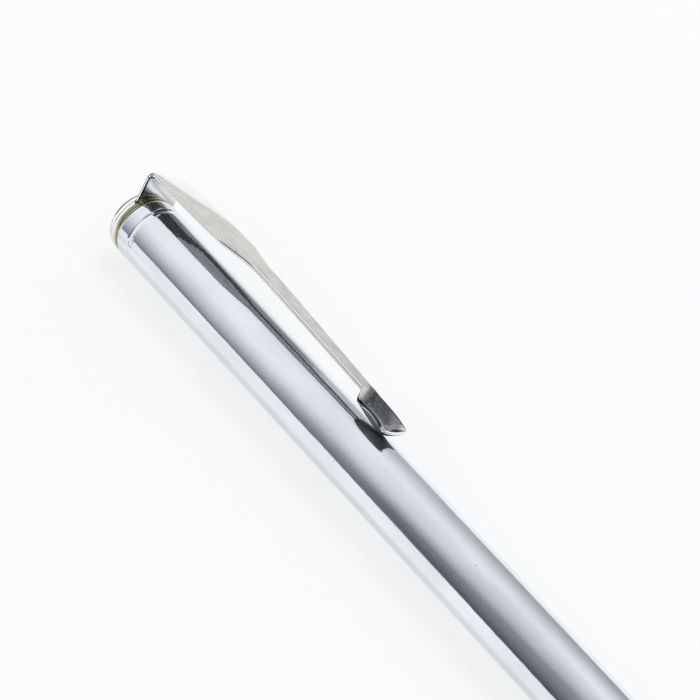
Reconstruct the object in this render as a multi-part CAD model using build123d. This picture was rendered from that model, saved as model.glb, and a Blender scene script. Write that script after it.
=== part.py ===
from build123d import *
import os

# A telescopic ballpoint pen, lying along +X from its tail cap to its writing point.
# All sizes are in millimetres. The origin is the centre of the cap's flat end face.

# Refill
refill_diameter = 2.35
refill_wall = 0.15
refill_length = 67.0
ink_length = 44.0
follower_length = 3.0
stop_length = 3.0

# Ballpoint tip
ball_diameter = 0.7
ball_proud = 0.18
point_neck_diameter = 1.2
point_neck_length = 3.0
point_nib_length = 1.0
point_nib_rim = 0.06
point_cone_length = 1.2
point_collar_length = 3.2
point_stub_length = 3.0

# Telescopic sections, from the barrel inwards
section_count = 5
section_wall = 0.2
section_rear_step = 1.5
sleeve_gap = 0.19
mouth_length = 1.2
mouth_rounding = 0.1
bush_length = 3.0
spring_length = 6.0
spring_sheet = 0.08
spring_opening = 40.0

# Clearances
running_gap = 0.03
spring_gap = 0.01
refill_gap = 0.025
thread_gap = 0.02
closing_gap = 0.15
stop_gap = 0.1
rear_gap = 0.5

# Barrel
barrel_wall = 0.35
barrel_length = 116.2
barrel_end_rounding = 0.25
groove_distance = 1.95
groove_radius = 0.6
groove_depth = 0.09

# Tail cap and plug
cap_thickness = 0.85
cap_inset = 0.08
cap_rounding = 0.4
stud_diameter = 2.6
stud_length = 4.4
plug_flange_thickness = 0.5
plug_flange_inset = 0.06
plug_length = 4.0

# Nose cone and its threaded holder
nose_length = 14.0
nose_band_length = 2.5
nose_inset = 0.05
nose_tip_diameter = 2.7
nose_bulge = 0.35
nose_exit_length = 1.8
holder_length = 6.5
holder_thickness = 0.8
holder_recess = 0.3

# Pocket clip: sheet, leg and blade
clip_lean = 33.5
clip_sheet = 0.42
clip_disc_inset = 0.05
clip_leg_width = 5.0
clip_leg_fillet = 0.5
clip_bend_radius = 0.5
clip_flex_slit = 0.03
clip_flex_drop = 0.3
clip_root_gap = 2.3
clip_shoulder_gap = 2.56
clip_neck_gap = 2.0
clip_shoulder_width = 4.5
clip_waist_width = 2.2
clip_neck_width = 1.5
clip_shoulder_start = 12.8
clip_shoulder_end = 17.2
clip_neck_place = 37.1

# Pocket clip: trough-shaped tip
tip_length = 5.75
tip_width = 3.1
tip_rim_lift = 1.72
tip_dent_lift = 1.6
tip_step_lift = 2.13
tip_touch_gap = 0.045
lip_width = 3.2
lip_lift = 1.32

# Radii, built up from the refill to the barrel's outside
refill_radius = refill_diameter / 2
refill_bore = refill_radius - refill_wall
bores = [refill_radius + refill_gap]
radii = [bores[0] + section_wall]
for _ in range(section_count - 1):
    bores.insert(0, radii[0] + sleeve_gap)
    radii.insert(0, bores[0] + section_wall)
barrel_bore = radii[0] + sleeve_gap
barrel_radius = barrel_bore + barrel_wall
outer_bores = [barrel_bore] + bores[:-1]

# Places along the pen
disc_back = cap_thickness
disc_front = disc_back + clip_sheet
barrel_back = disc_front + plug_flange_thickness
barrel_mouth = barrel_back + barrel_length
plug_front = barrel_back + plug_length
groove_place = barrel_back + groove_distance
section_backs = [plug_front + rear_gap + k * section_rear_step for k in range(section_count)]
nose_back = barrel_mouth + closing_gap
nose_front = nose_back + nose_length
holder_back = nose_back + holder_recess
holder_front = holder_back + holder_length
cone_front = nose_front - nose_exit_length
cone_back = cone_front - point_cone_length
collar_back = cone_back - point_collar_length
neck_front = cone_front + point_neck_length
nib_front = neck_front + point_nib_length
ball_centre = nib_front + ball_proud - ball_diameter / 2
refill_back = nib_front + ball_proud - refill_length
travels = [
    barrel_mouth - mouth_length - sleeve_gap - back - bush_length - spring_length - stop_gap
    for back in section_backs
]


def turned(points, rounding=0, arc=360):
    """Solid of revolution about the pen's axis, from a closed outline of (x, radius) points."""
    outline = FilletPolyline(*points, radius=rounding, close=True)
    return revolve(make_face(outline), axis=Axis.X, revolution_arc=arc)


def ring(back, front, inner, outer):
    """Plain ring, or a plain rod where the inner radius is zero."""
    return turned([(back, inner), (back, outer), (front, outer), (front, inner)])


def groove_torus(radius):
    """Torus whose round side makes the crimp groove near the barrel's tail end."""
    centre = barrel_radius - groove_depth + groove_radius
    disc = Pos(groove_place, centre) * Circle(radius)
    return revolve(disc, axis=Axis.X)


def mouthed_tube(back, front, bore, outer, mouth, back_rounding):
    """Drawn tube with its front end rolled in to guide the section inside it."""
    shoulder = front - mouth_length
    points = [
        (back, bore),
        (back, outer),
        (front, outer),
        (front, mouth),
        (shoulder, mouth),
        (shoulder - (bore - mouth), bore),
    ]
    return turned(points, [0, back_rounding, mouth_rounding, 0, 0, 0])


def barrel_tube():
    tube = mouthed_tube(
        barrel_back, barrel_mouth, barrel_bore, barrel_radius, radii[0] + running_gap, barrel_end_rounding
    )
    bead = groove_torus(groove_radius + barrel_wall) & ring(barrel_back, plug_front, 0, barrel_bore)
    return tube + bead - groove_torus(groove_radius)


def tail_cap():
    """Flanged cap whose stud screws into the plug and clamps the clip's disc."""
    rim = barrel_radius - cap_inset
    stud = stud_diameter / 2
    points = [
        (0, 0),
        (0, rim),
        (cap_thickness, rim),
        (cap_thickness, stud),
        (cap_thickness + stud_length, stud),
        (cap_thickness + stud_length, 0),
    ]
    return turned(points, [0, cap_rounding, 0, 0, 0, 0])


def tail_plug():
    """Turned plug in the barrel's tail end, held by the crimp groove."""
    hole = stud_diameter / 2 + thread_gap
    flange = barrel_radius - plug_flange_inset
    points = [
        (disc_front, hole),
        (disc_front, flange),
        (barrel_back, flange),
        (barrel_back, barrel_bore),
        (plug_front, barrel_bore),
        (plug_front, hole),
    ]
    return turned(points) - groove_torus(groove_radius + barrel_wall)


def section_tube(k):
    if k == section_count - 1:
        return ring(section_backs[k], holder_front, bores[k], radii[k])
    return mouthed_tube(section_backs[k], barrel_mouth, bores[k], radii[k], radii[k + 1] + running_gap, 0)


def section_bush(k):
    """Stop bush on a section's rear end: it can't pass the mouth of the tube around it."""
    back = section_backs[k]
    return ring(back, back + bush_length, radii[k], outer_bores[k] - running_gap)


def section_spring(k):
    """Split friction sleeve ahead of the bush, bowed so that its middle bears on the bore."""
    back = section_backs[k] + bush_length
    front = back + spring_length
    middle = (back + front) / 2
    foot = radii[k] + spring_gap
    crown = outer_bores[k] - spring_gap
    outside = ThreePointArc((back, foot + spring_sheet), (middle, crown), (front, foot + spring_sheet))
    inside = ThreePointArc((back, foot), (middle, crown - spring_sheet), (front, foot))
    ends = Line(inside @ 0, outside @ 0) + Line(inside @ 1, outside @ 1)
    return revolve(make_face(outside + inside + ends), axis=Axis.X, revolution_arc=360 - spring_opening)


def tip_holder():
    return ring(holder_back, holder_front, radii[-1], radii[-1] + holder_thickness)


def nose_cone():
    """Cone with a threaded socket for the holder, a bore for the refill and a narrow exit."""
    rear = barrel_radius - nose_inset
    tip = nose_tip_diameter / 2
    shoulder = nose_back + nose_band_length
    middle = ((shoulder + nose_front) / 2, (rear + tip) / 2 + nose_bulge)
    band = Line((nose_back, 0), (nose_back, rear)) + Line((nose_back, rear), (shoulder, rear))
    side = ThreePointArc((shoulder, rear), middle, (nose_front, tip))
    base = Line((nose_front, tip), (nose_front, 0)) + Line((nose_front, 0), (nose_back, 0))
    cone = revolve(make_face(band + side + base), axis=Axis.X)
    socket = ring(nose_back, holder_front, 0, radii[-1] + holder_thickness + thread_gap)
    exit_radius = point_neck_diameter / 2 + refill_gap
    bore = turned([
        (nose_back, 0),
        (nose_back, bores[-1]),
        (cone_back, bores[-1]),
        (cone_front, exit_radius),
        (nose_front, exit_radius),
        (nose_front, 0),
    ])
    return cone - socket - bore


def refill_point():
    """Metal tip: stub in the refill tube, collar, cone, neck and the nib around the ball."""
    neck = point_neck_diameter / 2
    rim = ball_diameter / 2 + point_nib_rim
    points = [
        (collar_back - point_stub_length, 0),
        (collar_back - point_stub_length, refill_bore),
        (collar_back, refill_bore),
        (collar_back, refill_radius),
        (cone_back, refill_radius),
        (cone_front, neck),
        (neck_front, neck),
        (nib_front, rim),
        (nib_front, 0),
    ]
    return turned(points) - Pos(ball_centre) * Sphere(ball_diameter / 2)


def refill_tube():
    return ring(refill_back, collar_back, refill_bore, refill_radius)


def refill_ink():
    front = collar_back - point_stub_length
    return ring(front - ink_length, front, 0, refill_bore)


def refill_follower():
    front = collar_back - point_stub_length - ink_length
    return ring(front - follower_length, front, 0, refill_bore)


def refill_stop():
    """Plug pressed into the innermost section behind the refill."""
    return ring(refill_back - stop_length, refill_back, 0, bores[-1])


def clip_collar():
    """The clip's disc under the cap and the leg that stands up from it."""
    split = clip_split_height()
    disc_radius = barrel_radius - clip_disc_inset
    disc = Circle(disc_radius) + Pos(0, split / 2) * Rectangle(clip_leg_width, split)
    inner_corners = disc.vertices().filter_by_position(Axis.Y, 0, disc_radius)
    plate = fillet(inner_corners, clip_leg_fillet) - Circle(stud_diameter / 2 + thread_gap)
    return extrude(across(disc_back) * plate, clip_sheet)


def clip_split_height():
    """Height above the axis of the line across the leg, below the bend, where the clip flexes."""
    return barrel_radius + clip_root_gap - clip_bend_radius - clip_flex_drop


def across(x):
    """Plane square to the pen's axis, with its own x along +Y and its own y along +Z."""
    return Plane((x, 0, 0), x_dir=(0, 1, 0), z_dir=(1, 0, 0))


def trough_face(x, near, keel, far):
    """Cross-section of the clip's sheet, its top a round hollow through two rims and the keel."""
    inside = ThreePointArc(near, keel, far)
    centre = inside.arc_center
    growth = 1 + clip_sheet / inside.radius
    outside = ThreePointArc(*[centre + (Vector(*point) - centre) * growth for point in (near, keel, far)])
    ends = Line(inside @ 0, outside @ 0) + Line(inside @ 1, outside @ 1)
    return across(x) * make_face(inside + outside + ends)


def clip_tip(neck, neck_top):
    """Hollow tip that steps down from the neck, touches the barrel and turns up into a lip."""
    half = tip_width / 2
    lip_half = lip_width / 2
    floor = barrel_radius + tip_touch_gap + clip_sheet
    rim = barrel_radius + tip_rim_lift
    dent = barrel_radius + tip_dent_lift
    step = barrel_radius + tip_step_lift
    lip = barrel_radius + lip_lift
    depth = rim - floor
    flat = across(neck) * Pos(0, neck_top - clip_sheet / 2) * Rectangle(clip_neck_width, clip_sheet)
    # Each row: share of the tip's length, near rim, height of the keel, far rim
    stations = [
        (0.10, (-0.75 * half, dent), dent - 0.06 * depth, (0.7 * half, step)),
        (0.30, (-0.92 * half, dent), floor + 0.4 * depth, (0.88 * half, (rim + step) / 2)),
        (0.56, (-half, rim), floor + 0.1 * depth, (half, rim)),
        (0.76, (-half, rim - 0.1 * depth), floor, (half, rim - 0.1 * depth)),
        (0.90, (-half, rim - 0.2 * depth), floor + 0.26 * depth, (0.98 * half, rim - 0.18 * depth)),
        (1.0, (-lip_half, lip), lip - 0.06 * depth, (0.9 * lip_half, lip + 0.1 * depth)),
    ]
    hollows = [
        trough_face(neck + share * tip_length, near, (0, keel), far) for share, near, keel, far in stations
    ]
    return loft([flat] + hollows)


def clip_blade():
    """Bend, shouldered blade and trough-shaped tip of the clip, in one piece."""
    back = disc_back
    shoulder = disc_back + (clip_shoulder_start + clip_shoulder_end) / 2
    neck = disc_back + clip_neck_place
    split = clip_split_height() + clip_flex_slit
    root_under = barrel_radius + clip_root_gap
    shoulder_under = barrel_radius + clip_shoulder_gap
    neck_under = barrel_radius + clip_neck_gap
    side_view = FilletPolyline(
        (back, split),
        (back, root_under + clip_sheet),
        (shoulder, shoulder_under + clip_sheet),
        (neck, neck_under + clip_sheet),
        (neck, neck_under),
        (shoulder, shoulder_under),
        (back + clip_sheet, root_under),
        (back + clip_sheet, split),
        radius=[0, clip_bend_radius + clip_sheet, 0, 0, 0, 0, clip_bend_radius, 0],
        close=True,
    )
    near_edge = [
        (back, clip_leg_width / 2),
        (disc_back + clip_shoulder_start, clip_shoulder_width / 2),
        (disc_back + clip_shoulder_end, clip_waist_width / 2),
        (neck, clip_neck_width / 2),
    ]
    far_edge = [(x, -y) for x, y in reversed(near_edge)]
    plan_view = make_face(Polyline(*near_edge, *far_edge, close=True))
    strip = extrude(Plane.XZ * make_face(side_view), clip_leg_width, both=True)
    height = 2 * (shoulder_under + clip_sheet)
    blade = strip & extrude(plan_view, height)
    return blade + clip_tip(neck, neck_under + clip_sheet)


def lean(clip_piece):
    """Roll a clip piece about the pen's axis to where the clip stands."""
    return Rot(X=-clip_lean) * clip_piece


nodes = {
    "barrel_tube": barrel_tube(),
    "tail_cap": tail_cap(),
    "tail_plug": tail_plug(),
    "clip_collar": lean(clip_collar()),
    "clip_blade": lean(clip_blade()),
    "tip_holder": tip_holder(),
    "nose_cone": nose_cone(),
    "refill_tube": refill_tube(),
    "refill_ink": refill_ink(),
    "refill_follower": refill_follower(),
    "refill_stop": refill_stop(),
    "refill_point": refill_point(),
    "writing_ball": Pos(ball_centre) * Sphere(ball_diameter / 2),
}
for k in range(section_count):
    nodes[f"section_{k + 1}_tube"] = section_tube(k)
    nodes[f"section_{k + 1}_bush"] = section_bush(k)
    nodes[f"section_{k + 1}_spring"] = section_spring(k)

os.makedirs("parts", exist_ok=True)
for name, shape in nodes.items():
    export_step(shape, f"parts/{name}.step")

print("barrel diameter", round(2 * barrel_radius, 3), "closed length", round(nib_front + ball_proud, 3))
print("section travels", [round(travel, 2) for travel in travels])
print("clip hinge", round(disc_back, 3), round(clip_split_height(), 3))
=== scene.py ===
import math

import bmesh
import bpy
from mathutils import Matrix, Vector


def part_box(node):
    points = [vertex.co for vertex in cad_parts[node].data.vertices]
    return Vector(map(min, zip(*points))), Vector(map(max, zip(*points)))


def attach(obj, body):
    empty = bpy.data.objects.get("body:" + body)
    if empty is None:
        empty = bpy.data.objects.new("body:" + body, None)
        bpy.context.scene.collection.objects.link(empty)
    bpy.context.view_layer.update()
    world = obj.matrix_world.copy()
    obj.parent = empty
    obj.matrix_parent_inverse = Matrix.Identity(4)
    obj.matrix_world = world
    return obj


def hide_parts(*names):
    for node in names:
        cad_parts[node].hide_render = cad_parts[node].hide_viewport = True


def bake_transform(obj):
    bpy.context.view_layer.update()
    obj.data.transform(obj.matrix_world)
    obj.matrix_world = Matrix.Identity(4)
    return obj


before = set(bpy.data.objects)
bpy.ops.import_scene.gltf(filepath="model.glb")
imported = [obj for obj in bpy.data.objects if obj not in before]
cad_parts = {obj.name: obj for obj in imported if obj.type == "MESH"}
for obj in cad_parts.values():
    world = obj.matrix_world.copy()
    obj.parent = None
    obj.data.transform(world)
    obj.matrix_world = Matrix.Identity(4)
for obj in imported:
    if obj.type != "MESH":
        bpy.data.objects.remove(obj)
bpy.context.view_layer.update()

# A telescopic ballpoint pen, lying on a pale floor. Sizes are in millimetres and angles in degrees. Only
# the studio at the end is in metres.
MM = 0.001
ROUND_SEGMENTS = 192
SHARP_ANGLE = 38.0
FILLET_STEPS = 6
SUPPORT = 0.03
ON_AXIS = 1e-6

# Barrel
BARREL_WALL = 0.35
BARREL_END_LENGTH = 0.42
BARREL_END_DROP = 0.16
BARREL_END_STEPS = 12
MOUTH_LENGTH = 1.2
MOUTH_ROUNDING = 0.1
INNER_ROUNDING = 0.05
RUNNING_GAP = 0.03
GROOVE_DISTANCE = 1.95
GROOVE_BACK_FLANK = 0.34
GROOVE_FRONT_FLANK = 1.2
GROOVE_DEPTH = 0.05
GROOVE_STEPS = 12
MARK_ANGLE = 66.0
MARK_PLACE = 4.2
MARK_RADIUS = 0.32
MARK_STRETCH = 1.25
MARK_LINE = 0.16
MARK_DEPTH = 0.08
MARK_CUTS = 5

# Tail cap, plug and sections
CAP_ROUNDING = 0.5
CAP_FRONT_ROUNDING = 0.06
CAP_TAPER = 0.08
STUD_RADIUS = 1.3
STUD_LENGTH = 4.4
STUD_ROUNDING = 0.15
THREAD_GAP = 0.02
PLUG_ROUNDING = 0.1
FLANGE_LAND = 0.26
FLANGE_TAPER = 0.03
FLANGE_GROOVE = 0.14
FLANGE_ROUNDING = 0.05
FLANGE_INNER_ROUNDING = 0.03
SECTION_COUNT = 5
SECTION_WALL = 0.2

# Nose
NOSE_BAND = 2.5
NOSE_BULGE = 0.35
NOSE_STEPS = 24
NOSE_TIP_RADIUS = 1.35
NOSE_TIP_ROUNDING = 0.15
NOSE_BACK_ROUNDING = 0.12
NOSE_EXIT_RADIUS = 0.625
NOSE_EXIT_LENGTH = 1.8
NOSE_EXIT_TAPER = 1.2
NOSE_EXIT_ROUNDING = 0.08
REFILL_GAP = 0.025
SOCKET_RADIUS = 2.22
SOCKET_LENGTH = 6.8
SOCKET_ROUNDING = 0.1

# Pocket clip: its sheet, disc and bend
CLIP_LEAN = 33.5
CLIP_SHEET = 0.42
CLIP_DISC_INSET = 0.05
CLIP_DISC_TAPER = 0.04
CLIP_DISC_ROUNDING = 0.06
CLIP_HOLE_RADIUS = 1.32
CLIP_BEND = 0.92
BEND_STEPS = 14

# Pocket clip: distances from the disc's back, heights above the barrel and half-widths of the blade
FLANK_PLACE = 10.0
SHOULDER_START = 12.8
SHOULDER_END = 17.2
CREST_PLACE = 18.0
NECK_DISTANCE = 37.1
ROOT_RISE = 2.72
FLANK_RISE = 2.81
CREST_RISE = 3.08
NECK_RISE = 2.42
ROOT_HALF = 2.52
SHOULDER_HALF = 2.38
WAIST_HALF = 1.2
NECK_HALF = 0.8
TOP_EASE = 2.0
SIDE_EASE = 0.6
EASE_STEPS = 4
SAG = 0.5
SAG_NEAR_LENGTH = 1.2
SAG_FAR_LENGTH = 10.0
BLADE_GAP = 0.2
BLADE_STEPS = 120
SLOPE_REACH = 0.05
ACROSS = 12

# Pocket clip: sheared edges and trough-shaped tip
EDGE_ROUNDING = 0.15
EDGE_TURN = 102.0
LEG_EDGE_TURN = 76.0
EDGE_STEPS = 8
EDGE_BURR = 0.05
EDGE_LINE = 0.25
TIP_LENGTH = 5.75
TIP_EDGE_ROUNDING = 0.11
TIP_EDGE_LENGTH = 1.0
TIP_STEPS = 60
LIP_CORNER = 0.28
LIP_CUT_MOST = 0.2
LIP_THINNING = 0.06
LIP_THIN_LENGTH = 0.12

# Height above the axis and half-width of the clip's leg, which spreads into the disc at its foot
LEG_STATIONS = [(1.9, 2.68), (2.3, 2.5), (2.42, 2.43), (2.65, 2.38), (3.6, 2.43), (4.6, 2.49)]
# Share of the tip's length, near rim across and up, keel up, far rim across and up
NEAR_ACROSS, NEAR_RISE, KEEL_RISE, FAR_ACROSS, FAR_RISE = range(1, 6)
TIP_STATIONS = [
    (0.0, -NECK_HALF, NECK_RISE, NECK_RISE, NECK_HALF, NECK_RISE),
    (0.10, -1.16, 1.60, 1.52, 1.08, 2.13),
    (0.30, -1.42, 1.60, 0.95, 1.36, 1.93),
    (0.56, -1.55, 1.70, 0.58, 1.55, 1.76),
    (0.76, -1.55, 1.60, 0.45, 1.56, 1.62),
    (0.90, -1.57, 1.46, 0.78, 1.53, 1.52),
    (1.0, -1.60, 1.32, 1.24, 1.42, 1.44),
]


def span(node):
    """Back end, front end and radius of a turned CAD node."""
    low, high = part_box(node)
    return low.x / MM, high.x / MM, (high.z - low.z) / 2 / MM


barrel_back, barrel_mouth, barrel_radius = span("barrel_tube")
cap_back, _, cap_radius = span("tail_cap")
_, plug_front, flange_radius = span("tail_plug")
_, _, section_radius = span("section_1_tube")
nose_back, nose_front, nose_radius = span("nose_cone")
_, _, refill_radius = span("refill_point")
collar_low, collar_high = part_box("clip_collar")
disc_back, disc_front = collar_low.x / MM, collar_high.x / MM
groove_place = barrel_back + GROOVE_DISTANCE
bore = barrel_radius - BARREL_WALL
shoulder_start = disc_back + SHOULDER_START
shoulder_end = disc_back + SHOULDER_END
neck_place = disc_back + NECK_DISTANCE
tip_end = neck_place + TIP_LENGTH
root_top = barrel_radius + ROOT_RISE
top_line = [
    (disc_back, root_top),
    (disc_back + FLANK_PLACE, barrel_radius + FLANK_RISE),
    (disc_back + CREST_PLACE, barrel_radius + CREST_RISE),
    (neck_place, barrel_radius + NECK_RISE),
]
width_line = [
    (disc_back, ROOT_HALF),
    (shoulder_start, SHOULDER_HALF),
    (shoulder_end, WAIST_HALF),
    (neck_place, NECK_HALF),
]


# Meshes

def mesh_object(name, points, faces):
    """New smooth-shaded mesh object from points in millimetres."""
    mesh = bpy.data.meshes.new(name)
    mesh.from_pydata([Vector(p) * MM for p in points], [], faces)
    shape = bmesh.new()
    shape.from_mesh(mesh)
    bmesh.ops.recalc_face_normals(shape, faces=shape.faces)
    shape.to_mesh(mesh)
    shape.free()
    mesh.polygons.foreach_set("use_smooth", [True] * len(mesh.polygons))
    mesh.set_sharp_from_angle(angle=math.radians(SHARP_ANGLE))
    piece = bpy.data.objects.new(name, mesh)
    bpy.context.scene.collection.objects.link(piece)
    return piece


def dress(piece, body, node_name, material):
    """Put a piece on its body, in place of its CAD node, with its finish."""
    piece.data.materials.append(material)
    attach(piece, body)
    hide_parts(node_name)


def rounded(corners):
    """Closed outline of (x, radius) points from corners of (x, radius, fillet)."""
    outline = []
    count = len(corners)
    for i, (x, r, fillet) in enumerate(corners):
        corner = Vector((x, r))
        if fillet == 0:
            outline.append(corner)
            continue
        before = (Vector(corners[i - 1][:2]) - corner).normalized()
        after = (Vector(corners[(i + 1) % count][:2]) - corner).normalized()
        half = before.angle(after) / 2
        centre = corner + (before + after).normalized() * fillet / math.sin(half)
        start = corner + before * fillet / math.tan(half) - centre
        turn = start.angle_signed(corner + after * fillet / math.tan(half) - centre)
        for step in range(FILLET_STEPS + 1):
            angle = -turn * step / FILLET_STEPS
            outline.append(centre + Vector((
                start.x * math.cos(angle) - start.y * math.sin(angle),
                start.x * math.sin(angle) + start.y * math.cos(angle),
            )))
    return outline


def supported(outline):
    """The outline with a point close to both ends of each long run, so that its shading stays true."""
    points = []
    for i, start in enumerate(outline):
        end = outline[(i + 1) % len(outline)]
        points.append(start)
        run = end - start
        if run.length > 4 * SUPPORT:
            points.append(start + run.normalized() * SUPPORT)
            points.append(end - run.normalized() * SUPPORT)
    return points


def ring_mesh(corners):
    """Points and faces of a closed outline turned about the pen's axis, from corners as above."""
    points = []
    rings = []
    for x, r in supported(rounded(corners)):
        if r < ON_AXIS:
            rings.append([len(points)] * ROUND_SEGMENTS)
            points.append((x, 0, 0))
            continue
        rings.append(list(range(len(points), len(points) + ROUND_SEGMENTS)))
        for k in range(ROUND_SEGMENTS):
            angle = math.tau * k / ROUND_SEGMENTS
            points.append((x, r * math.cos(angle), r * math.sin(angle)))
    faces = []
    for i, ring in enumerate(rings):
        after = rings[(i + 1) % len(rings)]
        for k in range(ROUND_SEGMENTS):
            n = (k + 1) % ROUND_SEGMENTS
            face = list(dict.fromkeys([ring[k], ring[n], after[n], after[k]]))
            if len(face) > 2:
                faces.append(face)
    return points, faces


def turned(name, corners):
    """Turned piece from corners of (x, radius, fillet)."""
    return mesh_object(name, *ring_mesh(corners))


# Materials
NOISE_RANGE = (0.3, 0.7)
SPECK_CORE = 0.6
PIT_TONE = (0.42, 0.42, 0.43)
PASTE_ROUGHNESS = 0.12
DULL_METALLIC = 0.2
BLADE_SCRATCHES = 0.25
# Painted shade and dark reflection in the hollow of the clip's tip, and a painted white reflection on the
# far side of its root
PAINTED_SHADE_SLANT = 0.67
PAINTED_SHADE_GRAIN = (0.35, 0.6)
PAINTED_SHADE_THINNEST = 0.8
ROOT_REFLECTION_SLANT = -1.86
ROOT_REFLECTION_EDGES = (6.4, 4.6)
ROOT_REFLECTION_TONE = (0.895, 0.885, 0.885)
painted_shade_back = neck_place - 8.0
painted_shade_front = tip_end + 1.0


class Paint:
    """Node tree of a material or world, with short calls for its nodes."""

    def __init__(self, owner):
        owner.use_nodes = True
        self.owner = owner
        self.nodes = owner.node_tree.nodes
        self.links = owner.node_tree.links
        self.shader = self.nodes.get("Principled BSDF")

    def place(self, kind="Object"):
        """Coordinates of the point that is shaded."""
        return self.nodes.new("ShaderNodeTexCoord").outputs[kind]

    def axes(self, vector):
        """The x, y and z of a vector."""
        node = self.nodes.new("ShaderNodeSeparateXYZ")
        self.links.new(vector, node.inputs["Vector"])
        return node.outputs

    def dot(self, vector, fixed):
        """Dot product of a vector with a fixed one."""
        node = self.nodes.new("ShaderNodeVectorMath")
        node.operation = "DOT_PRODUCT"
        node.inputs[1].default_value = fixed
        self.links.new(vector, node.inputs[0])
        return node.outputs["Value"]

    def slanted(self, slant):
        """Distance along the pen, plus a slant times the distance across the clip."""
        lean = math.radians(CLIP_LEAN)
        return self.dot(self.place(), (1, slant * math.cos(lean), -slant * math.sin(lean)))

    def maths(self, operation, *values):
        """Maths on sockets and plain numbers."""
        node = self.nodes.new("ShaderNodeMath")
        node.operation = operation
        for socket, value in zip(node.inputs, values):
            if isinstance(value, bpy.types.NodeSocket):
                self.links.new(value, socket)
            else:
                socket.default_value = value
        return node.outputs["Value"]

    def remap(self, source, start, end, low=0.0, high=1.0, kind="LINEAR"):
        """Value that goes from low to high while the source goes from start to end."""
        node = self.nodes.new("ShaderNodeMapRange")
        node.interpolation_type = kind
        node.inputs["From Min"].default_value = start
        node.inputs["From Max"].default_value = end
        node.inputs["To Min"].default_value = low
        node.inputs["To Max"].default_value = high
        self.links.new(source, node.inputs["Value"])
        return node.outputs["Result"]

    def faded(self, source, start, end):
        """Smooth step from 0 to 1 while the source goes from start to end."""
        return self.remap(source, start, end, kind="SMOOTHSTEP")

    def ramp(self, source, stops):
        """Colour by a value, from (place, colour) stops in order."""
        node = self.nodes.new("ShaderNodeValToRGB")
        elements = node.color_ramp.elements
        for element, (place, colour) in zip(elements, (stops[0], stops[-1])):
            element.position = place
            element.color = (*colour, 1)
        for place, colour in stops[1:-1]:
            elements.new(place).color = (*colour, 1)
        self.links.new(source, node.inputs["Fac"])
        return node.outputs["Color"]

    def levels(self, source, stops):
        """Grey by a value, from (place, level) stops in order."""
        return self.ramp(source, [(place, (level,) * 3) for place, level in stops])

    def mix(self, share, under, over):
        """Colour that goes from a socket's to another socket's or a fixed one by a share."""
        node = self.nodes.new("ShaderNodeMix")
        node.data_type = "RGBA"
        self.links.new(share, node.inputs["Factor"])
        self.links.new(under, node.inputs["A"])
        if isinstance(over, bpy.types.NodeSocket):
            self.links.new(over, node.inputs["B"])
        else:
            node.inputs["B"].default_value = (*over, 1)
        return node.outputs["Result"]

    def noise(self, stretch, detail):
        """Noise in object space, stretched by (x, y, z) per metre."""
        mapping = self.nodes.new("ShaderNodeMapping")
        mapping.inputs["Scale"].default_value = stretch
        texture = self.nodes.new("ShaderNodeTexNoise")
        texture.inputs["Scale"].default_value = 1.0
        texture.inputs["Detail"].default_value = detail
        self.links.new(self.place(), mapping.inputs["Vector"])
        self.links.new(mapping.outputs["Vector"], texture.inputs["Vector"])
        return texture.outputs["Fac"]

    def specks(self, cell, size):
        """Sparse small dots, one to a cell: 1 inside a dot and 0 outside. Sizes are in millimetres."""
        cells = self.nodes.new("ShaderNodeTexVoronoi")
        cells.inputs["Scale"].default_value = 1 / (cell * MM)
        self.links.new(self.place(), cells.inputs["Vector"])
        return self.remap(cells.outputs["Distance"], size / cell, size / cell * SPECK_CORE)

    def colour(self, source):
        """Take the shader's colour from a socket."""
        self.links.new(source, self.shader.inputs["Base Color"])

    def roughen(self, source, low, high):
        """Take the shader's roughness from a noise."""
        roughness = self.remap(source, *NOISE_RANGE, low, high)
        self.links.new(roughness, self.shader.inputs["Roughness"])

    def bump(self, source, strength, depth):
        """Bump on top of those that the shader has already. Its depth is in millimetres."""
        node = self.nodes.new("ShaderNodeBump")
        node.inputs["Strength"].default_value = strength
        node.inputs["Distance"].default_value = depth * MM
        for link in self.shader.inputs["Normal"].links:
            self.links.new(link.from_socket, node.inputs["Normal"])
        self.links.new(source, node.inputs["Height"])
        self.links.new(node.outputs["Normal"], self.shader.inputs["Normal"])

    def cover(self, share, under, over):
        """Surface that goes from one shader to another by a share."""
        node = self.nodes.new("ShaderNodeMixShader")
        self.links.new(share, node.inputs["Fac"])
        self.links.new(under, node.inputs[1])
        self.links.new(over, node.inputs[2])
        self.links.new(node.outputs["Shader"], self.nodes["Material Output"].inputs["Surface"])


def painted(name, tone, roughness, metallic=1.0):
    """New material with its plain values."""
    paint = Paint(bpy.data.materials.new(name))
    paint.shader.inputs["Base Color"].default_value = (*tone, 1)
    paint.shader.inputs["Metallic"].default_value = metallic
    paint.shader.inputs["Roughness"].default_value = roughness
    return paint


def drawn_chrome(name, tone, dull, roughness):
    """Bright plate on a drawn tube: soft waves, fine lines along it, faint smudges and a few pits."""
    paint = painted(name, tone, roughness)
    lines = paint.noise(stretch=(40, 5200, 5200), detail=6.0)
    smudges = paint.noise(stretch=(120, 420, 420), detail=5.0)
    waves = paint.noise(stretch=(150, 500, 500), detail=6.0)
    pits = paint.specks(cell=2.1, size=0.1)
    plate = paint.ramp(smudges, [(0.35, tone), (0.75, dull)])
    paint.colour(paint.mix(pits, plate, PIT_TONE))
    paint.roughen(smudges, low=roughness * 0.75, high=roughness * 1.6)
    paint.bump(waves, strength=1.0, depth=0.02)
    paint.bump(lines, strength=0.12, depth=0.01)
    return paint.owner


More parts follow.
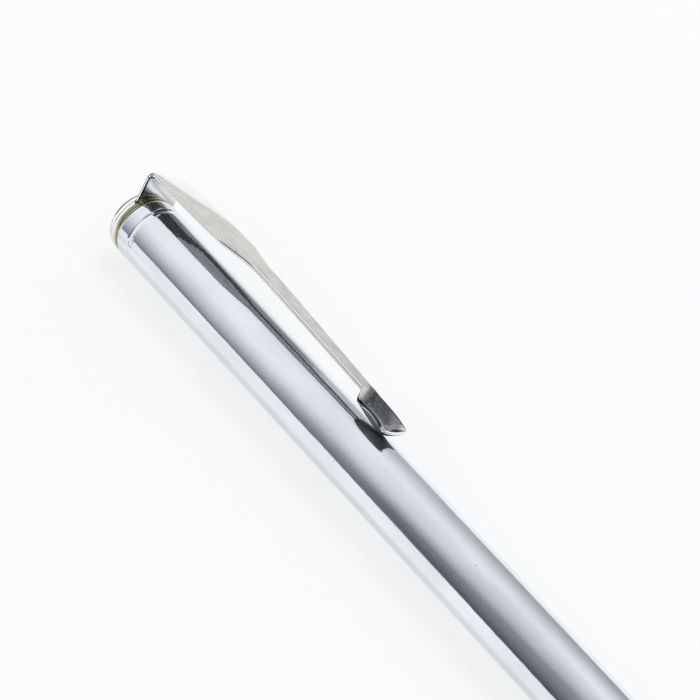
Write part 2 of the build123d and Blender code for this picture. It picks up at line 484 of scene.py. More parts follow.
def worn_nickel(name, tone, dull, roughness, metallic=1.0, scratches=0.05):
    """Thin nickel plate: finely mottled, with pits and short scratches."""
    paint = painted(name, tone, roughness, metallic)
    mottle = paint.noise(stretch=(500, 900, 900), detail=8.0)
    scratched = paint.noise(stretch=(1800, 6000, 6000), detail=3.0)
    pits = paint.specks(cell=1.3, size=0.11)
    plate = paint.ramp(mottle, [(0.3, dull), (0.6, tone)])
    paint.colour(paint.mix(pits, plate, PIT_TONE))
    paint.roughen(mottle, low=roughness * 1.3, high=roughness * 0.8)
    paint.bump(scratched, strength=scratches, depth=0.01)
    return paint.owner


def nickel_with_painted_light(name, tone, dull, roughness, shares, tones):
    """Nickel plate of the blade, with painted shade and dark reflection in the hollow of its tip that
    starts sooner on the far side, and a painted white reflection on the far side of its root. The stops are
    (distance along the pen, share) and (distance along the pen, colour)."""
    paint = Paint(worn_nickel(name, tone, dull, roughness, scratches=BLADE_SCRATCHES))
    plate = paint.shader.inputs["Base Color"].links[0].from_socket
    along = paint.remap(paint.slanted(PAINTED_SHADE_SLANT), painted_shade_back * MM, painted_shade_front * MM)

    def stretched(stops):
        """Stops by their share of the tarnished stretch."""
        return [((x - painted_shade_back) / (painted_shade_front - painted_shade_back), value) for x, value in stops]

    specked = paint.noise(stretch=(3000, 5000, 5000), detail=5.0)
    grain = paint.remap(specked, *PAINTED_SHADE_GRAIN, low=PAINTED_SHADE_THINNEST)
    # Share of painted shade and dark reflection, thinned by a fine grain
    tarnish = paint.maths("MULTIPLY", grain, paint.levels(along, stretched(shares)))
    darkened = paint.mix(tarnish, plate, paint.ramp(along, stretched(tones)))
    # Painted white reflection on the far side of the root
    root_start, root_end = ROOT_REFLECTION_EDGES
    root = paint.faded(paint.slanted(ROOT_REFLECTION_SLANT), root_start * MM, root_end * MM)
    paint.colour(paint.mix(root, darkened, ROOT_REFLECTION_TONE))
    return paint.owner


def tarnished_brass(name, tone, dull, roughness):
    """Turned brass with fine turning lines round it and olive tarnish."""
    paint = painted(name, tone, roughness)
    tarnish = paint.noise(stretch=(900, 600, 600), detail=7.0)
    lines = paint.noise(stretch=(16000, 200, 200), detail=2.0)
    paint.colour(paint.ramp(tarnish, [(0.35, dull), (0.65, tone)]))
    paint.roughen(tarnish, low=roughness * 1.3, high=roughness * 0.7)
    paint.bump(lines, strength=0.15, depth=0.01)
    return paint.owner


def paste(name, tone, deep):
    """Glossy liquid with slow streaks."""
    paint = painted(name, tone, PASTE_ROUGHNESS, metallic=0.0)
    streaks = paint.noise(stretch=(80, 900, 900), detail=3.0)
    paint.colour(paint.ramp(streaks, [(0.3, deep), (0.7, tone)]))
    return paint.owner


barrel_chrome = drawn_chrome("barrel_chrome", (0.83, 0.875, 0.91), (0.72, 0.762, 0.80), 0.05)
cap_chrome = drawn_chrome("cap_chrome", (0.93, 0.935, 0.945), (0.87, 0.875, 0.89), 0.05)
section_chrome = drawn_chrome("section_chrome", (0.80, 0.81, 0.83), (0.74, 0.755, 0.78), 0.07)
# The blade's nickel, with painted shade in the tip's hollow and a painted white reflection at its root
clip_nickel = nickel_with_painted_light(
    "clip_nickel", (0.84, 0.83, 0.795), (0.70, 0.69, 0.655), 0.12,
    shares=[
        (painted_shade_back, 0.0),
        (neck_place - 0.4, 0.15),
        (neck_place + 0.7, 1.0),
        (tip_end - 0.1, 1.0),
        (tip_end + 0.4, 0.0),
        (painted_shade_front, 0.0),
    ],
    tones=[
        (painted_shade_back, (0.09, 0.092, 0.098)),
        (neck_place + 0.8, (0.09, 0.092, 0.098)),
        (neck_place + 2.4, (0.21, 0.215, 0.225)),
        (painted_shade_front, (0.25, 0.255, 0.265)),
    ],
)
# Brighter and darker copies of the clip's nickel: a painted highlight on the sheared edges and the disc,
# painted dark lines along the edges, and painted dark rims on the tip's cut faces
clip_edge_painted_highlight = worn_nickel("clip_edge_painted_highlight", (0.93, 0.93, 0.92), (0.86, 0.86, 0.85), 0.06)
clip_painted_dark_line = worn_nickel("clip_painted_dark_line", (0.42, 0.425, 0.435), (0.32, 0.325, 0.33), 0.22)
clip_rim_painted_shade = worn_nickel("clip_rim_painted_shade", (0.09, 0.09, 0.095), (0.05, 0.05, 0.055), 0.15)
# Painted shade on the clip's underside, on a duller plate, darker still along a streak of it and under the
# tip
clip_under_painted_shade = worn_nickel("clip_under_painted_shade", (0.56, 0.565, 0.575), (0.47, 0.475, 0.485), 0.4, DULL_METALLIC)
clip_keel_painted_shade = worn_nickel("clip_keel_painted_shade", (0.12, 0.125, 0.125), (0.085, 0.09, 0.09), 0.4, DULL_METALLIC)
turned_brass = tarnished_brass("turned_brass", (0.62, 0.60, 0.38), (0.36, 0.35, 0.21), 0.2)
spring_bronze = tarnished_brass("spring_bronze", (0.68, 0.50, 0.32), (0.50, 0.36, 0.22), 0.2)
refill_brass = tarnished_brass("refill_brass", (0.80, 0.68, 0.40), (0.66, 0.54, 0.30), 0.16)
point_metal = tarnished_brass("point_metal", (0.72, 0.70, 0.66), (0.60, 0.58, 0.54), 0.2)
ball_carbide = worn_nickel("ball_carbide", (0.42, 0.42, 0.44), (0.34, 0.34, 0.36), 0.15)
ink_paste = paste("ink_paste", (0.02, 0.03, 0.16), (0.01, 0.012, 0.08))
grease = paste("grease", (0.80, 0.74, 0.52), (0.70, 0.62, 0.40))


# Barrel

def end_corners():
    """Rolled edge at the barrel's tail end."""
    corners = []
    for i in range(BARREL_END_STEPS + 1):
        angle = math.pi / 2 * i / BARREL_END_STEPS
        drop = BARREL_END_DROP * (1 - math.sin(angle))
        corners.append((barrel_back + BARREL_END_LENGTH * (1 - math.cos(angle)), barrel_radius - drop, 0))
    return corners


def groove_radius(x):
    """Outer radius at the rolled crimp groove, which has a short back flank and a long soft front one."""
    if x < groove_place:
        share = min((groove_place - x) / GROOVE_BACK_FLANK, 1)
        return barrel_radius - GROOVE_DEPTH * (1 + math.cos(math.pi * share)) / 2
    share = min((x - groove_place) / GROOVE_FRONT_FLANK, 1)
    return barrel_radius - GROOVE_DEPTH * (1 - share) ** 3


def groove_corners():
    """Outline of the crimp groove."""
    places = [groove_place - GROOVE_BACK_FLANK * (1 - i / GROOVE_STEPS) for i in range(GROOVE_STEPS)]
    places += [groove_place + GROOVE_FRONT_FLANK * i / GROOVE_STEPS for i in range(GROOVE_STEPS + 1)]
    return [(x, groove_radius(x), 0) for x in places]


def press_mark(piece):
    """Small oval ring pressed into the barrel beside its crimp groove."""
    middle = -math.radians(MARK_ANGLE)
    reach = MARK_RADIUS * MARK_STRETCH + MARK_LINE
    outside = (barrel_radius - BARREL_WALL / 2) * MM

    def offsets(point):
        """Place of a point beside the mark's middle: along the barrel and round it."""
        turn = math.atan2(point.y, point.z) - middle
        return point.x / MM - MARK_PLACE, turn * barrel_radius

    def beside(point):
        """Whether a point lies on the barrel's outside, within the mark's reach."""
        return max(map(abs, offsets(point))) <= reach and math.hypot(point.y, point.z) >= outside

    shape = bmesh.new()
    shape.from_mesh(piece.data)
    chosen = [edge for edge in shape.edges if all(beside(vertex.co) for vertex in edge.verts)]
    bmesh.ops.subdivide_edges(shape, edges=chosen, cuts=MARK_CUTS, use_grid_fill=True)
    for vertex in shape.verts:
        if not beside(vertex.co):
            continue
        along, around = offsets(vertex.co)
        aside = abs(math.hypot(along, around / MARK_STRETCH) - MARK_RADIUS) / (MARK_LINE / 2)
        depth = MARK_DEPTH * (1 + math.cos(math.pi * min(aside, 1))) / 2
        grow = (groove_radius(vertex.co.x / MM) - depth) * MM / math.hypot(vertex.co.y, vertex.co.z)
        vertex.co.y *= grow
        vertex.co.z *= grow
    shape.to_mesh(piece.data)
    shape.free()


mouth_radius = section_radius + RUNNING_GAP
barrel = turned("barrel", [
    (barrel_back, bore, INNER_ROUNDING),
    *end_corners(),
    *groove_corners(),
    (barrel_mouth, barrel_radius, MOUTH_ROUNDING),
    (barrel_mouth, mouth_radius, INNER_ROUNDING),
    (barrel_mouth - MOUTH_LENGTH, mouth_radius, 0),
    (barrel_mouth - MOUTH_LENGTH - (bore - mouth_radius), bore, 0),
])
press_mark(barrel)
dress(barrel, "barrel", "barrel_tube", barrel_chrome)

# Tail cap and plug
stud_front = disc_back + STUD_LENGTH
cap = turned("tail_end_cap", [
    (cap_back, 0, 0),
    (cap_back, cap_radius - CAP_TAPER, CAP_ROUNDING),
    (disc_back, cap_radius, CAP_FRONT_ROUNDING),
    (disc_back, STUD_RADIUS, 0),
    (stud_front, STUD_RADIUS, STUD_ROUNDING),
    (stud_front, 0, 0),
])
dress(cap, "barrel", "tail_cap", cap_chrome)
plug = turned("tail_end_plug", [
    (disc_front, STUD_RADIUS + THREAD_GAP, 0),
    (disc_front, flange_radius - FLANGE_TAPER, FLANGE_INNER_ROUNDING),
    (disc_front + FLANGE_LAND, flange_radius, FLANGE_ROUNDING),
    (disc_front + FLANGE_LAND, flange_radius - FLANGE_GROOVE, FLANGE_INNER_ROUNDING),
    (barrel_back, flange_radius - FLANGE_GROOVE, 0),
    (barrel_back, bore, 0),
    (plug_front, bore, PLUG_ROUNDING),
    (plug_front, STUD_RADIUS + THREAD_GAP, 0),
])
dress(plug, "barrel", "tail_plug", turned_brass)


# Sections

def section_corners(number):
    """Outline of a section's tube, with a rolled-in mouth unless it is the innermost."""
    back, front, radius = span(f"section_{number}_tube")
    inside = radius - SECTION_WALL
    corners = [(back, inside, 0), (back, radius, 0), (front, radius, MOUTH_ROUNDING)]
    if number == SECTION_COUNT:
        return corners + [(front, inside, 0)]
    lip = span(f"section_{number + 1}_tube")[2] + RUNNING_GAP
    shoulder = front - MOUTH_LENGTH
    return corners + [
        (front, lip, INNER_ROUNDING),
        (shoulder, lip, 0),
        (shoulder - (inside - lip), inside, 0),
    ]


sections = [f"section_{number + 1}" for number in range(SECTION_COUNT)]
for number, section in enumerate(sections, 1):
    tube = turned(section, section_corners(number))
    dress(tube, section, f"{section}_tube", section_chrome)


# Nose

def nose_corners():
    """Outline of the nose: band, bulged cone, narrow exit, refill bore and threaded socket."""
    shoulder = nose_back + NOSE_BAND
    cone = []
    for i in range(1, NOSE_STEPS):
        share = i / NOSE_STEPS
        bulge = 4 * NOSE_BULGE * share * (1 - share)
        radius = nose_radius + (NOSE_TIP_RADIUS - nose_radius) * share + bulge
        cone.append((shoulder + (nose_front - shoulder) * share, radius, 0))
    inner = refill_radius + REFILL_GAP
    entry = nose_front - NOSE_EXIT_LENGTH
    return [
        (nose_back, SOCKET_RADIUS, SOCKET_ROUNDING),
        (nose_back, nose_radius, NOSE_BACK_ROUNDING),
        (shoulder, nose_radius, 0),
        *cone,
        (nose_front, NOSE_TIP_RADIUS, NOSE_TIP_ROUNDING),
        (nose_front, NOSE_EXIT_RADIUS, NOSE_EXIT_ROUNDING),
        (entry, NOSE_EXIT_RADIUS, 0),
        (entry - NOSE_EXIT_TAPER, inner, 0),
        (nose_back + SOCKET_LENGTH, inner, 0),
        (nose_back + SOCKET_LENGTH, SOCKET_RADIUS, 0),
    ]


nose = turned("nose", nose_corners())
dress(nose, sections[-1], "nose_cone", barrel_chrome)


# Pocket clip: cross-sections of its strip, upright before they take the clip's lean

def eased(x, line, ease):
    """Height of a line of (x, y) points at x, with its corners eased."""
    total = 0
    for step in range(-EASE_STEPS, EASE_STEPS + 1):
        place = x + ease * step / EASE_STEPS
        for (x0, y0), (x1, y1) in zip(line, line[1:]):
            if place <= x1 or (x1, y1) == line[-1]:
                total += y0 + (y1 - y0) * (place - x0) / (x1 - x0)
                break
    return total / (2 * EASE_STEPS + 1)


def edge_profile(rounding, turn):
    """Points (outward, down) round a sheared edge of the sheet: rolled top, cut face and small burr."""
    points = []
    for step in range(1, EDGE_STEPS + 1):
        angle = math.radians(turn) * step / EDGE_STEPS
        points.append((rounding * math.sin(angle), rounding * (1 - math.cos(angle))))
    out, down = points[-1]
    burr = CLIP_SHEET - EDGE_BURR
    foot = out - (burr - down) * math.tan(math.radians(turn - 90))
    middle = (out + (foot - out) * EDGE_LINE, down + (burr - down) * EDGE_LINE)
    return points + [middle, (foot, burr), (foot - EDGE_BURR, CLIP_SHEET)]


def sheet_loop(line, normals, turn=EDGE_TURN, rounding=EDGE_ROUNDING, thin=0.0):
    """Closed cross-section of the sheet: its outer line, far edge, inner line and near edge."""
    outer = [p - n * thin for p, n in zip(line, normals)]
    inner = [p - n * (CLIP_SHEET - thin) for p, n in zip(line, normals)]
    far_out = (line[-1] - line[-2]).normalized()
    near_out = (line[0] - line[1]).normalized()
    squeeze = 1 - 2 * thin / CLIP_SHEET
    profile = edge_profile(rounding, turn)

    def side(point, normal, out):
        """Points down one edge."""
        return [point + out * (u - thin) - normal * (thin + v * squeeze) for u, v in profile]

    far_side = side(line[-1], normals[-1], far_out)
    near_side = side(line[0], normals[0], near_out)
    return outer + far_side + inner[::-1] + near_side[::-1]


def root_sag(x, across):
    """Small droop of the blade behind its bend, which reaches further along its far side."""
    far_share = (across + 1) / 2
    reach = SAG_NEAR_LENGTH + (SAG_FAR_LENGTH - SAG_NEAR_LENGTH) * far_share
    left = max(1 - (x - disc_back) / reach, 0)
    return SAG * far_share * left ** 2


def flat_station(x, height, half, normal):
    """Outer line across a flat stretch of the clip, with its normals."""
    shares = [2 * i / ACROSS - 1 for i in range(ACROSS + 1)]
    line = [Vector((x, share * (half - EDGE_ROUNDING), height)) for share in shares]
    if normal.z > 0:
        line = [p - Vector((0, 0, root_sag(x, share) * normal.z)) for p, share in zip(line, shares)]
    return line, [normal] * len(line)


def tip_value(share, column):
    """Smooth curve through one column of the tip's stations."""
    knots = [row[0] for row in TIP_STATIONS]
    values = [row[column] for row in TIP_STATIONS]
    slopes = []
    for i in range(len(knots)):
        low, high = max(i - 1, 0), min(i + 1, len(knots) - 1)
        slopes.append((values[high] - values[low]) / (knots[high] - knots[low]))
    i = 0
    while share > knots[i + 1] and i < len(knots) - 2:
        i += 1
    gap = knots[i + 1] - knots[i]
    t = (share - knots[i]) / gap
    return (
        values[i] * (1 + 2 * t) * (1 - t) ** 2
        + slopes[i] * gap * t * (1 - t) ** 2
        + values[i + 1] * t * t * (3 - 2 * t)
        + slopes[i + 1] * gap * t * t * (t - 1)
    )


def tip_station(share, inset):
    """Outer line across the hollow tip, its ends set in by the edge's rounding and the corner's cut."""
    near = Vector((tip_value(share, NEAR_ACROSS) + inset, tip_value(share, NEAR_RISE)))
    far = Vector((tip_value(share, FAR_ACROSS) - inset, tip_value(share, FAR_RISE)))
    x = neck_place + share * TIP_LENGTH
    hollow = (near.y + far.y) / 2 - tip_value(share, KEEL_RISE)
    line = []
    for i in range(ACROSS + 1):
        across = 2 * i / ACROSS - 1
        point = near.lerp(far, i / ACROSS)
        line.append(Vector((x, point.x, barrel_radius + point.y - hollow * (1 - across * across))))
    normals = []
    for i in range(len(line)):
        run = line[min(i + 1, ACROSS)] - line[max(i - 1, 0)]
        normals.append(Vector((0, -run.z, run.y)).normalized())
    return line, normals


def leg_and_bend_loops():
    """Cross-sections from inside the disc, up the leg and round the bend."""
    back = Vector((-1, 0, 0))
    slope = math.atan2(top_line[1][1] - top_line[0][1], top_line[1][0] - top_line[0][0])
    bend_start = root_top - CLIP_BEND / math.tan((math.pi / 2 + slope) / 2)
    loops = []
    for height, half in [*LEG_STATIONS, (bend_start, ROOT_HALF)]:
        loops.append(sheet_loop(*flat_station(disc_back, height, half, back), LEG_EDGE_TURN))
    for i in range(1, BEND_STEPS + 1):
        angle = math.pi - (math.pi / 2 - slope) * i / BEND_STEPS
        normal = Vector((math.cos(angle), 0, math.sin(angle)))
        x = disc_back + CLIP_BEND + CLIP_BEND * normal.x
        height = bend_start + CLIP_BEND * normal.z
        turn = LEG_EDGE_TURN + (EDGE_TURN - LEG_EDGE_TURN) * i / BEND_STEPS
        loops.append(sheet_loop(*flat_station(x, height, ROOT_HALF, normal), turn))
    return loops


def blade_loops():
    """Cross-sections from the bend to the neck."""
    start = disc_back + CLIP_BEND + BLADE_GAP
    loops = []
    for i in range(BLADE_STEPS):
        x = start + (neck_place - start) * i / BLADE_STEPS
        height = eased(x, top_line, TOP_EASE)
        half = eased(x, width_line, SIDE_EASE)
        rise = eased(x + SLOPE_REACH, top_line, TOP_EASE) - eased(x - SLOPE_REACH, top_line, TOP_EASE)
        normal = Vector((-rise, 0, 2 * SLOPE_REACH)).normalized()
        loops.append(sheet_loop(*flat_station(x, height, half, normal)))
    return loops


def tip_loops():
    """Cross-sections from the neck to the lip, whose corners are cut round and whose end thins out."""
    loops = []
    for i in range(TIP_STEPS + 1):
        share = i / TIP_STEPS
        left = (1 - share) * TIP_LENGTH
        cut = LIP_CORNER - math.sqrt(LIP_CORNER ** 2 - max(LIP_CORNER - left, 0) ** 2)
        thin = LIP_THINNING * max(1 - left / LIP_THIN_LENGTH, 0) ** 2
        changed = min(share * TIP_LENGTH / TIP_EDGE_LENGTH, 1)
        rounding = EDGE_ROUNDING + (TIP_EDGE_ROUNDING - EDGE_ROUNDING) * changed
        line, normals = tip_station(share, rounding + min(cut, LIP_CUT_MOST))
        loops.append(sheet_loop(line, normals, EDGE_TURN, rounding, thin))
    return loops


# Pocket clip: finishes, with painted highlights and painted shade, by place along the pen and round the
# cross-section
UPPER, EDGE, UNDER, RIM, KEEL, LINE = range(6)
CLIP_FINISHES = (clip_nickel, clip_edge_painted_highlight, clip_under_painted_shade, clip_rim_painted_shade, clip_keel_painted_shade, clip_painted_dark_line)
under_start = disc_back + 0.5
leg_line_end = disc_back + 0.05
far_line_start = disc_back + 10.0
rim_end = tip_end - 0.5
EDGE_POINTS = EDGE_STEPS + 3
# Faces of the near edge, counted up from the underside, and of the far edge, counted down from the top
BURR = slice(0, 2)
ABOVE_CUT = slice(3, None)
ROLL_FOOT = slice(3, 5)
ROLL_CROWN = slice(-5, None)
FAR_ROLL = slice(1, 5)
# Faces of the blade's underside with a painted dark streak of shade, counted from its far side, at its root
# and from there on
DARK_AT_ROOT = (4, 12)
DARK_AFTER = (0, 5)
dark_turn = (disc_back + 4.0, disc_back + 7.5)


def in_painted_dark_streak(x, face):
    """Whether a face of the underside lies in the painted dark streak of shade, which crosses to the far
    side.
    """
    share = min(max((x - dark_turn[0]) / (dark_turn[1] - dark_turn[0]), 0), 1)
    first, last = (a + (b - a) * share for a, b in zip(DARK_AT_ROOT, DARK_AFTER))
    return first <= face < last


def edge_finish(x, k, near_edge, far_edge):
    """Finish of a face on one of the sheared edges: a painted highlight, with painted dark lines along it.
    """
    if x < leg_line_end and k in near_edge[ABOVE_CUT]:
        return RIM
    if neck_place < x < rim_end:
        return EDGE if k in near_edge[ROLL_CROWN] or k in near_edge[BURR] else RIM
    if k in near_edge[BURR]:
        return RIM
    if k in near_edge[ROLL_FOOT]:
        return RIM if shoulder_start < x < shoulder_end else LINE
    return LINE if k in far_edge[FAR_ROLL] and x > far_line_start else EDGE


def clip_finish(x, k, size):
    """Finish of a face of the clip's strip, by its place along the pen and round the cross-section. Its
    edges, underside and keel carry painted highlights and painted shade.
    """
    far_edge = range(ACROSS, ACROSS + EDGE_POINTS + 1)
    near_edge = range(size - EDGE_POINTS - 1, size)
    if k in far_edge or k in near_edge:
        return edge_finish(x, k, near_edge, far_edge)
    if k < ACROSS or x < under_start:
        return UPPER
    return KEEL if x > neck_place or in_painted_dark_streak(x, k - far_edge.stop) else UNDER


def leaned(x, across, height):
    """Point of the upright clip, turned to where the clip stands round the barrel."""
    lean = math.radians(CLIP_LEAN)
    return (
        x,
        across * math.cos(lean) + height * math.sin(lean),
        height * math.cos(lean) - across * math.sin(lean),
    )


def clip_mesh():
    """Points, faces and the finish of each face of the clip: its strip and the disc under the cap."""
    loops = leg_and_bend_loops() + blade_loops() + tip_loops()
    size = len(loops[0])
    points = [p for loop in loops for p in loop]
    faces = [list(range(size)), list(range(len(points) - size, len(points)))]
    finishes = [UPPER, EDGE]
    for i in range(len(loops) - 1):
        for k in range(size):
            n = (k + 1) % size
            faces.append([i * size + k, i * size + n, (i + 1) * size + n, (i + 1) * size + k])
            finishes.append(clip_finish(loops[i][0].x, k, size))
    radius = barrel_radius - CLIP_DISC_INSET
    disc_points, disc_faces = ring_mesh([
        (disc_back, CLIP_HOLE_RADIUS, 0),
        (disc_back, radius - CLIP_DISC_TAPER, CLIP_DISC_ROUNDING),
        (disc_front, radius, CLIP_DISC_ROUNDING),
        (disc_front, CLIP_HOLE_RADIUS, 0),
    ])
    first = len(points)
    points += [Vector(p) for p in disc_points]
    faces += [[first + k for k in face] for face in disc_faces]
    finishes += [EDGE] * len(disc_faces)
    return [leaned(*p) for p in points], faces, finishes


clip_points, clip_faces, clip_face_finishes = clip_mesh()
clip = mesh_object("pocket_clip", clip_points, clip_faces)
for finish in CLIP_FINISHES:
    clip.data.materials.append(finish)
clip.data.polygons.foreach_set("material_index", clip_face_finishes)

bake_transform(clip)
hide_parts("clip_collar", "clip_blade")

# Finish of the CAD pieces that stay
NODE_FINISH = {
    "tip_holder": turned_brass,
    "refill_tube": refill_brass,
    "refill_ink": ink_paste,
    "refill_follower": grease,
    "refill_stop": turned_brass,
    "refill_point": point_metal,
    "writing_ball": ball_carbide,
}
for section in sections:
    NODE_FINISH[f"{section}_bush"] = turned_brass
    NODE_FINISH[f"{section}_spring"] = spring_bronze
for node_name, finish in NODE_FINISH.items():
    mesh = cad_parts[node_name].data
    mesh.materials.clear()
    mesh.materials.append(finish)


# Studio, in metres. A fade is given by the places where it starts and ends.

def matt(name, tone):
    """New matt material."""
    paint = Paint(bpy.data.materials.new(name))
    paint.shader.inputs["Base Color"].default_value = (*tone, 1)
    paint.shader.inputs["Roughness"].default_value = 1.0
    paint.shader.inputs["Specular IOR Level"].default_value = 0.0
    return paint


def staged(name, points, faces, material):
    """New object of the studio."""
    mesh = bpy.data.meshes.new(name)
    mesh.from_pydata(points, [], faces)
    mesh.materials.append(material)
    piece = bpy.data.objects.new(name, mesh)
    bpy.context.scene.collection.objects.link(piece)
    return piece


# Floor
FLOOR_SIZE = 6.0
FLOOR_COLOUR = (0.955, 0.965, 0.975)
FLOOR_GLOW = 0.75
FLOOR_TONE = (0.988, 1.0, 1.0)
SHADED_TONE = (0.07, 0.07, 0.075)
FAR_TONE = (0.71, 0.71, 0.70)
FAR_FLOOR = 0.06
FAR_FLOOR_FADE = (0.022, 0.012)
TAILWARD_TONE = (0.80, 0.80, 0.79)
TAILWARD_FADE = (-0.036, -0.05)
NEAR_SHADE = 0.2
NEAR_SHADE_OUTER_FADE = (-0.008, -0.0045)
NEAR_SHADE_INNER_FADE = (0.0, -0.002)
TAIL_SHADE_SIDE_FADE = (0.018, 0.010)
TAIL_SHADE_NEAR, TAIL_SHADE_NEAR_FADE = 0.15, (-0.002, -0.005)
TAIL_SHADE_FAR, TAIL_SHADE_FAR_FADE = 0.65, (-0.010, -0.020)
floor_height = -barrel_radius * MM


def floor_paint():
    """Floor that looks white where it is seen. In the metal it shows painted shade: it is dark close behind
    the pen, where the clip and the barrel shade it, grey far behind it, and dimmer beside the barrel and
    its tail."""
    paint = matt("floor_paint", FLOOR_COLOUR)
    rays = paint.nodes.new("ShaderNodeLightPath").outputs
    x, y, _ = paint.axes(paint.place())
    beside = paint.maths("DIVIDE", y, FAR_FLOOR)

    def mirrored(far_tone):
        """Tone in the metal, by the distance behind the pen."""
        return paint.ramp(beside, [
            (0.0, FLOOR_TONE),
            (0.045, FLOOR_TONE),
            (0.055, SHADED_TONE),
            (0.09, SHADED_TONE),
            (0.115, FLOOR_TONE),
            (0.6, FLOOR_TONE),
            (0.85, far_tone),
        ])

    tailward = paint.faded(x, *TAILWARD_FADE)
    mirrored_tone = paint.mix(tailward, mirrored(FAR_TONE), mirrored(TAILWARD_TONE))
    in_metal = paint.maths("MULTIPLY", paint.faded(x, *FAR_FLOOR_FADE), rays["Is Glossy Ray"])
    plain = paint.maths("SUBTRACT", 1.0, in_metal)
    glow = paint.nodes.new("ShaderNodeEmission")
    paint.links.new(paint.mix(plain, mirrored_tone, FLOOR_TONE), glow.inputs["Color"])

    outer = paint.faded(y, *NEAR_SHADE_OUTER_FADE)
    inner = paint.faded(y, *NEAR_SHADE_INNER_FADE)
    near_shade = paint.maths("MULTIPLY", paint.maths("MULTIPLY", outer, inner), NEAR_SHADE)
    tail_side = paint.faded(paint.maths("ABSOLUTE", y), *TAIL_SHADE_SIDE_FADE)
    tail_near = paint.maths("MULTIPLY", paint.faded(x, *TAIL_SHADE_NEAR_FADE), TAIL_SHADE_NEAR)
    tail_far = paint.faded(x, *TAIL_SHADE_FAR_FADE)
    tail_shade = paint.maths("MULTIPLY_ADD", tail_far, TAIL_SHADE_FAR, tail_near)
    shade = paint.maths("MULTIPLY_ADD", tail_shade, tail_side, near_shade)
    shade = paint.maths("MULTIPLY", shade, rays["Is Glossy Ray"])
    paint.links.new(paint.maths("SUBTRACT", 1.0, shade), glow.inputs["Strength"])

    seen = paint.maths("MAXIMUM", rays["Is Camera Ray"], rays["Is Transmission Ray"])
    glow_share = paint.maths("MULTIPLY_ADD", seen, FLOOR_GLOW, rays["Is Glossy Ray"])
    paint.cover(glow_share, paint.shader.outputs["BSDF"], glow.outputs["Emission"])
    return paint.owner


corner = FLOOR_SIZE / 2
floor_points = [
    (-corner, -corner, floor_height),
    (corner, -corner, floor_height),
    (corner, corner, floor_height),
    (-corner, corner, floor_height),
]
staged("floor", floor_points, [(0, 1, 2, 3)], floor_paint())

# Soft light: a dome that is bright overhead, dim at the horizon and less dim behind the pen, with a darker
# spot overhead, a white side towards the tail and a dark end there
DOME = [
    (0.0, (0.20, 0.21, 0.23)),
    (0.45, (0.66, 0.67, 0.69)),
    (0.72, (0.93, 0.94, 0.95)),
    (1.0, (1.0, 1.0, 1.0)),
]
BACK_LIFT = 0.45
BACK_LIFT_POWER = 3.0
DARK_SPOT = (0.15, 0.15, 0.977)
DARK_SPOT_FADE = (0.72, 0.87)
DARK_SPOT_TONE = (0.395, 0.415, 0.44)
TAIL_SIDE_FADE = (-0.69, -0.77)
TAIL_SIDE_TONE = (1.0, 1.0, 1.0)
TAIL_END_FADE = (-0.80, -0.86)
TAIL_END_TONE = (0.13, 0.13, 0.14)
KEY_SIZE = 0.5
KEY_POWER = 2.4
KEY_PLACE = Vector((0.15, 0.35, 0.75))
KEY_TARGET = Vector((0.03, 0, 0))


def light_dome():
    """World that lights the pen."""
    world = bpy.data.worlds.new("studio")
    bpy.context.scene.world = world
    paint = Paint(world)
    direction = paint.place("Generated")
    x, y, z = paint.axes(direction)
    behind = paint.maths("MULTIPLY", paint.maths("MAXIMUM", y, 0.0), BACK_LIFT)
    below_top = paint.maths("POWER", paint.maths("SUBTRACT", 1.0, z), BACK_LIFT_POWER)
    dome = paint.ramp(paint.maths("MULTIPLY_ADD", behind, below_top, z), DOME)
    spot = paint.faded(paint.dot(direction, DARK_SPOT), *DARK_SPOT_FADE)
    dome = paint.mix(spot, dome, DARK_SPOT_TONE)
    dome = paint.mix(paint.faded(x, *TAIL_SIDE_FADE), dome, TAIL_SIDE_TONE)
    dome = paint.mix(paint.faded(x, *TAIL_END_FADE), dome, TAIL_END_TONE)
    background = paint.nodes["Background"]
    paint.links.new(dome, background.inputs["Color"])
    background.inputs["Strength"].default_value = 1.0


def key_light():
    """Soft lamp that gives the pen its shadow on the floor, and doesn't show in the metal."""
    lamp = bpy.data.lights.new("key", "AREA")
    lamp.shape = "DISK"
    lamp.size = KEY_SIZE
    lamp.energy = KEY_POWER
    key = bpy.data.objects.new("key", lamp)
    key.location = KEY_PLACE
    key.rotation_euler = (KEY_TARGET - KEY_PLACE).to_track_quat("-Z", "Y").to_euler()
    key.visible_glossy = False
    bpy.context.scene.collection.objects.link(key)


light_dome()
key_light()

# Flag: a dark shell over the pen, seen in the metal alone. It shades the barrel's front, most of all from
# the near side, and a low strip along the far side of its tail.
FLAG_RADIUS = 0.12
FLAG_BACK, FLAG_FRONT = -0.3, 0.05
FLAG_STEPS = 64
FLAG_COLOUR = (0.006, 0.022, 0.05)
FLAG_START, FLAG_FULL = -0.069, -0.024
FLAG_MOST = 0.66
FLAG_END_FADE = (0.04, 0.0)
FLAG_TAIL_FADE = (-0.058, -0.066)
# Cover by the turn from the near side, at 0, over the top to the far side, at 1
FRONT_COVER = [
    (0.0, 0.4),
    (0.067, 0.8),
    (0.125, 0.9),
    (0.18, 0.76),
    (0.237, 0.53),
    (0.344, 0.32),
    (0.505, 0.135),
    (0.62, 0.02),
    (0.8, 0.06),
    (1.0, 0.23),
]
TAIL_COVER = [(0.83, 0.0), (0.89, 0.6), (0.94, 0.6), (0.98, 0.2), (1.0, 0.1)]


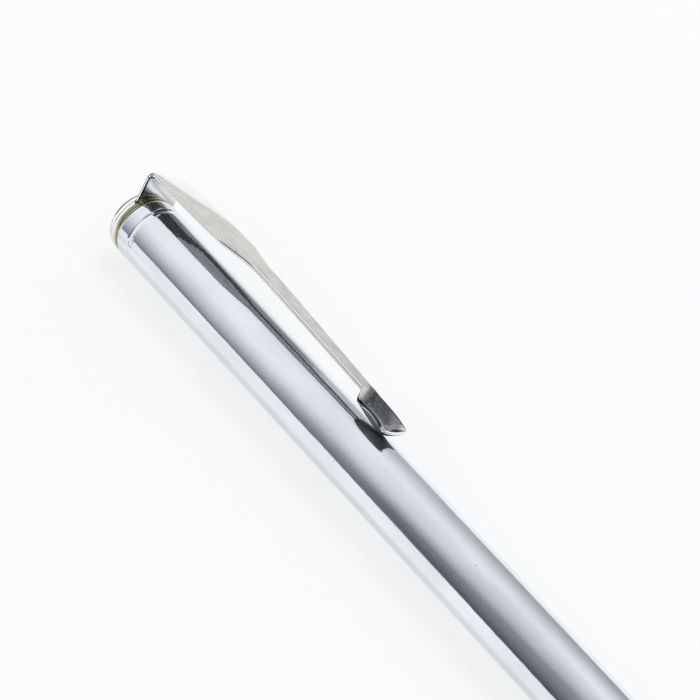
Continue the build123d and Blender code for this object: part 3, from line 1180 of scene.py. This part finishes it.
def flag_paint():
    """Dark paint on the covered parts of the flag, clear elsewhere."""
    paint = matt("flag_paint", FLAG_COLOUR)
    x, y, z = paint.axes(paint.place())
    turn = paint.maths("ARCTAN2", z, paint.maths("MULTIPLY", y, -1.0))
    turn = paint.maths("DIVIDE", turn, math.pi)
    along = paint.maths("DIVIDE", paint.maths("SUBTRACT", x, FLAG_START), FLAG_FULL - FLAG_START)
    along = paint.maths("MAXIMUM", along, 0.0)
    front = paint.maths("MULTIPLY", along, paint.levels(turn, FRONT_COVER))
    front = paint.maths("MINIMUM", front, FLAG_MOST)
    front = paint.maths("MULTIPLY", front, paint.faded(x, *FLAG_END_FADE))
    tail = paint.maths("MULTIPLY", paint.faded(x, *FLAG_TAIL_FADE), paint.levels(turn, TAIL_COVER))
    clear = paint.nodes.new("ShaderNodeBsdfTransparent")
    cover = paint.maths("MAXIMUM", front, tail)
    paint.cover(cover, clear.outputs["BSDF"], paint.shader.outputs["BSDF"])
    return paint.owner


flag_points = []
for i in range(FLAG_STEPS + 1):
    angle = math.pi * i / FLAG_STEPS
    side = (-FLAG_RADIUS * math.cos(angle), FLAG_RADIUS * math.sin(angle) + floor_height)
    flag_points += [(FLAG_BACK, *side), (FLAG_FRONT, *side)]
flag_faces = [(2 * i, 2 * i + 1, 2 * i + 3, 2 * i + 2) for i in range(FLAG_STEPS)]
flag = staged("flag", flag_points, flag_faces, flag_paint())
flag.visible_camera = False
flag.visible_diffuse = False
flag.visible_shadow = False

# Camera, with its distance and target in millimetres
AZIMUTH = 57.412
ELEVATION = 42.339
DISTANCE = 470.279
TARGET = Vector((28.021, 7.537, 0))
FOCAL_PIXELS = 4815.169
FRAME_PIXELS = 700
SENSOR = 36.0
NEAR_CLIP, FAR_CLIP = 0.01, 20.0
azimuth = math.radians(AZIMUTH)
elevation = math.radians(ELEVATION)
backward = Vector((
    math.sin(azimuth) * math.cos(elevation),
    -math.cos(azimuth) * math.cos(elevation),
    math.sin(elevation),
))
camera_data = bpy.data.cameras.new("camera")
camera_data.sensor_width = SENSOR
camera_data.lens = FOCAL_PIXELS / FRAME_PIXELS * SENSOR
camera_data.clip_start = NEAR_CLIP
camera_data.clip_end = FAR_CLIP
camera = bpy.data.objects.new("camera", camera_data)
camera.location = (TARGET + backward * DISTANCE) * MM
camera.rotation_euler = (-backward).to_track_quat("-Z", "Y").to_euler()
bpy.context.scene.collection.objects.link(camera)
bpy.context.scene.camera = camera
bpy.context.scene.view_settings.view_transform = "Standard"
